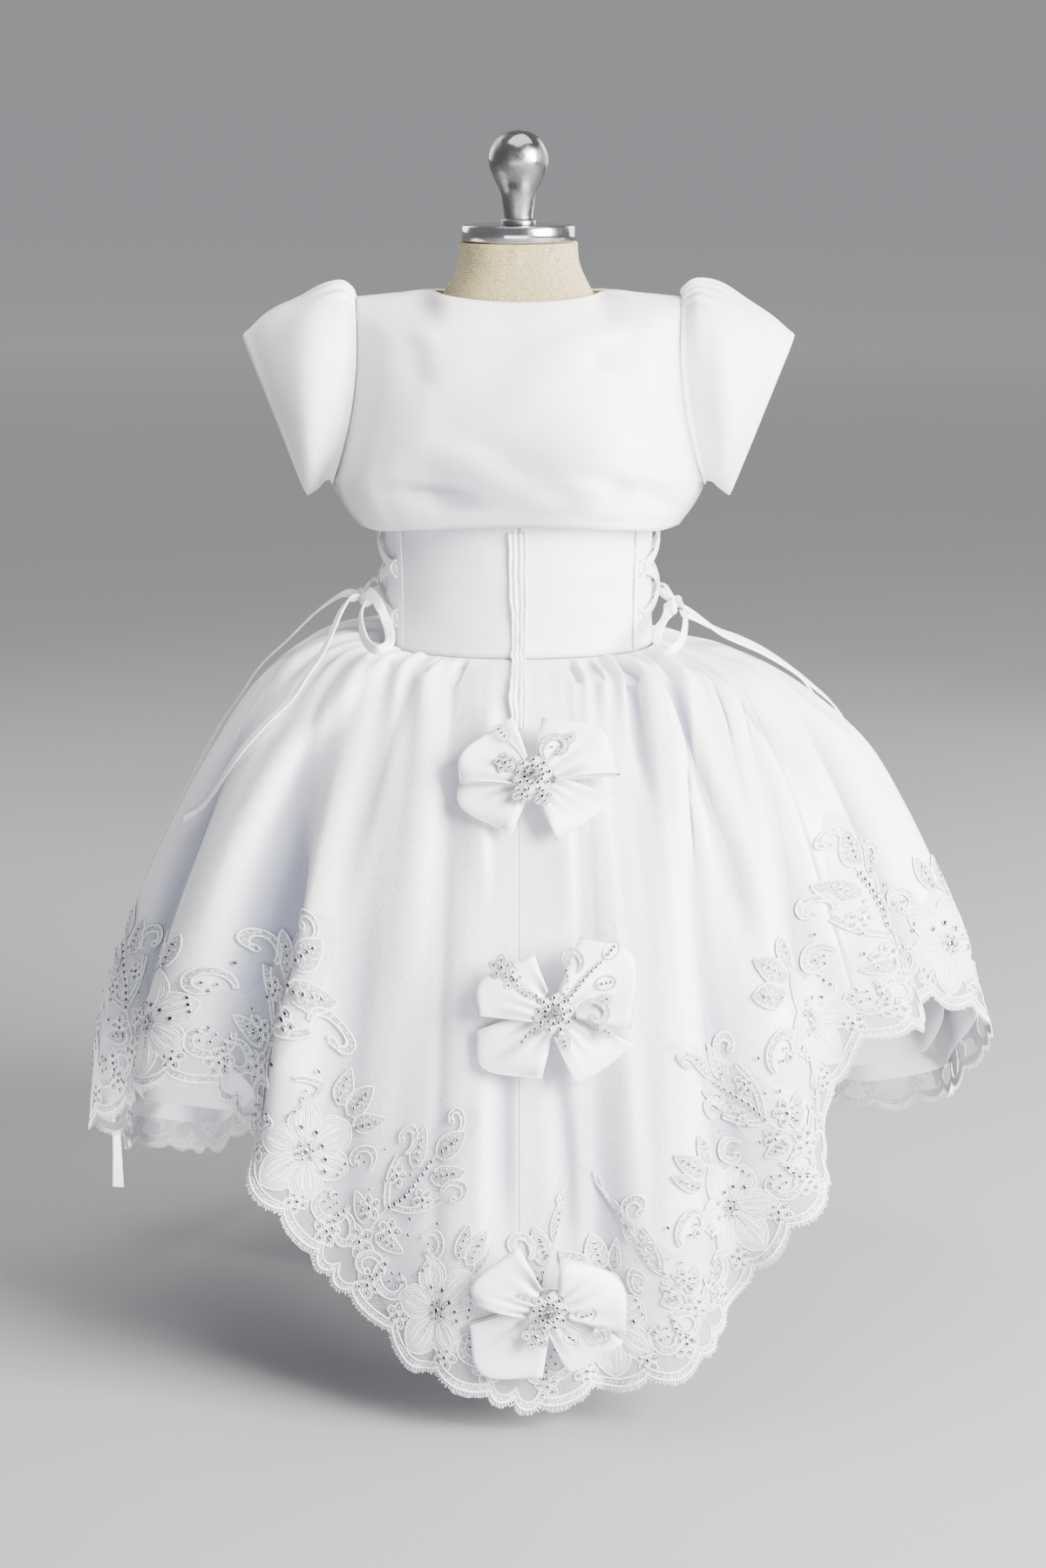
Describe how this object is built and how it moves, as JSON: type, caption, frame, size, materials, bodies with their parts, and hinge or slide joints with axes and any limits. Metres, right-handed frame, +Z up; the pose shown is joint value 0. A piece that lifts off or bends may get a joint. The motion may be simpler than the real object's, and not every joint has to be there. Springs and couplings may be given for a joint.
{
  "type": "christening gown on a dress form",
  "caption": "Child's satin christening gown with a bolero, laced sides, gathered skirt, lace border and back bows, on a tabletop dress form.",
  "frame": {"origin": "centre of the base plate's underside", "axes": "+Z up; the gown's back, with the zip, the bows and the pointed tail, faces -Y; +X is the wearer's right side seen from the back as the viewer's right"},
  "size_m": [0.5757, 0.5102, 0.7586],
  "materials": {
    "satin": "duchess satin",
    "organza": "sparkle organza over satin",
    "lining": "satin lining",
    "lace": "corded lace on net",
    "knit": "rib knit over a firm form",
    "stand_metal": "polished",
    "base_steel": "brushed"
  },
  "bodies": {
    "root": {"base_plate": "base_steel", "pole": "stand_metal", "form_torso": "knit", "neck_cap": "stand_metal", "finial": "stand_metal", "bodice_front": "satin", "bodice_back_left": "satin", "bodice_back_right": "satin", "side_panel_left": "lining", "side_panel_right": "lining", "lacing_left": "satin", "lacing_right": "satin", "zip_closure": "satin", "skirt_front": "organza", "skirt_back_left": "organza", "skirt_back_right": "organza", "underskirt": "lining", "lace_front": "lace", "lace_back_left": "lace", "lace_back_right": "lace", "bolero_back": "satin", "bolero_front_left": "satin", "bolero_front_right": "satin", "sleeve_left": "satin", "sleeve_right": "satin", "tie_left_loop_back": "satin", "tie_left_loop_front": "satin", "tie_left_tail_back": "satin", "tie_left_tail_front": "satin", "tie_right_loop_back": "satin", "tie_right_loop_front": "satin", "tie_right_tail_back": "satin", "tie_right_tail_front": "satin", "tie_knot_left": "satin", "tie_knot_right": "satin", "bow_top_upper_left": "satin", "bow_top_lower_left": "satin", "bow_top_upper_right": "satin", "bow_top_lower_right": "satin", "bow_top_motif": "lace", "bow_middle_upper_left": "satin", "bow_middle_lower_left": "satin", "bow_middle_upper_right": "satin", "bow_middle_lower_right": "satin", "bow_middle_motif": "lace", "bow_bottom_upper_left": "satin", "bow_bottom_lower_left": "satin", "bow_bottom_upper_right": "satin", "bow_bottom_lower_right": "satin", "bow_bottom_motif": "lace"}
  },
  "joints": []
}
